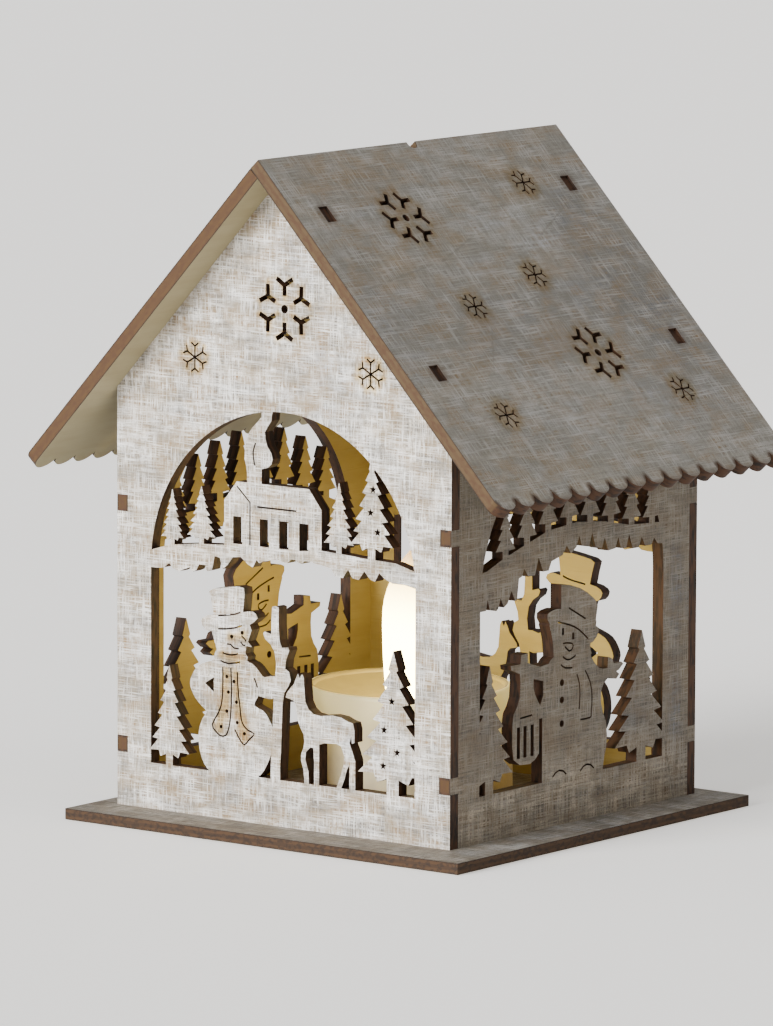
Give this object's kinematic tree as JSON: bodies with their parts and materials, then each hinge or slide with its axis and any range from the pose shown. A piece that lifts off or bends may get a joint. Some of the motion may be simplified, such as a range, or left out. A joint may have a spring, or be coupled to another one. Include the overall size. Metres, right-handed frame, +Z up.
{
  "type": "led lantern",
  "caption": "House-shaped lantern of interlocking laser-cut plywood panels with pierced winter scenes, lit by a flameless LED candle that pushes in from below.",
  "frame": {"origin": "middle of the base plate's underside, on the surface that the lantern stands on, on the candle's axis", "axes": "+Z up; the gable front with the snowman and deer faces -Y; +X to the right as seen from the front, along the eaves' fall of the right-hand roof panel"},
  "size_m": [0.1216, 0.1026, 0.1377],
  "materials": {
    "painted_plywood": "whitewashed with a printed linen weave, dull, laser-cut edges burnt dark brown",
    "grey_plywood": "grey-brown weave print, dull, raw golden ply inside, burnt edges",
    "roof_plywood": "grey weave print with brown patches, dull, burnt edges",
    "floor_plywood": "grey weave print, dull, burnt reddish-brown edges",
    "candle_plastic": "satin cream plastic that lets some light through",
    "flame_plastic": "frosted clear plastic, glowing warm white",
    "led_resin": "clear epoxy, glossy",
    "board_laminate": "solder-masked laminate, satin",
    "bright_steel": "nickel-plated, bright",
    "switch_steel": "plated sheet, satin",
    "cell_steel": "drawn stainless can, satin",
    "black_plastic": "moulded, matt"
  },
  "bodies": {
    "house": {"base_plate": "floor_plywood", "front_wall": "painted_plywood", "back_wall": "painted_plywood", "right_wall": "grey_plywood", "left_wall": "grey_plywood", "roof_right": "roof_plywood", "roof_left": "roof_plywood"},
    "candle": {"candle_shell": "candle_plastic", "flame_lens": "flame_plastic", "led": "led_resin", "led_legs": "bright_steel", "circuit_board": "board_laminate", "board_screws": "bright_steel", "slide_switch": "switch_steel", "bottom_cap": "candle_plastic", "cap_screws": "bright_steel", "minus_contact": "bright_steel", "plus_contact": "bright_steel", "coin_cell": "cell_steel"},
    "battery_cover": {"battery_cover": "candle_plastic"},
    "switch_knob": {"switch_knob": "black_plastic"}
  },
  "joints": [
    {"name": "candle_lift", "type": "slide", "parent": "house", "child": "candle", "axis": [0, 0, -1], "range_m": [0, 0.058]},
    {"name": "cover_turn", "type": "hinge", "parent": "candle", "child": "battery_cover", "pos_m": [0, 0.004, 0.0008], "axis": [0, 0, 1], "range_deg": [0, 30]},
    {"name": "switch_slide", "type": "slide", "parent": "candle", "child": "switch_knob", "axis": [1, 0, 0], "range_m": [0, 0.002]}
  ]
}
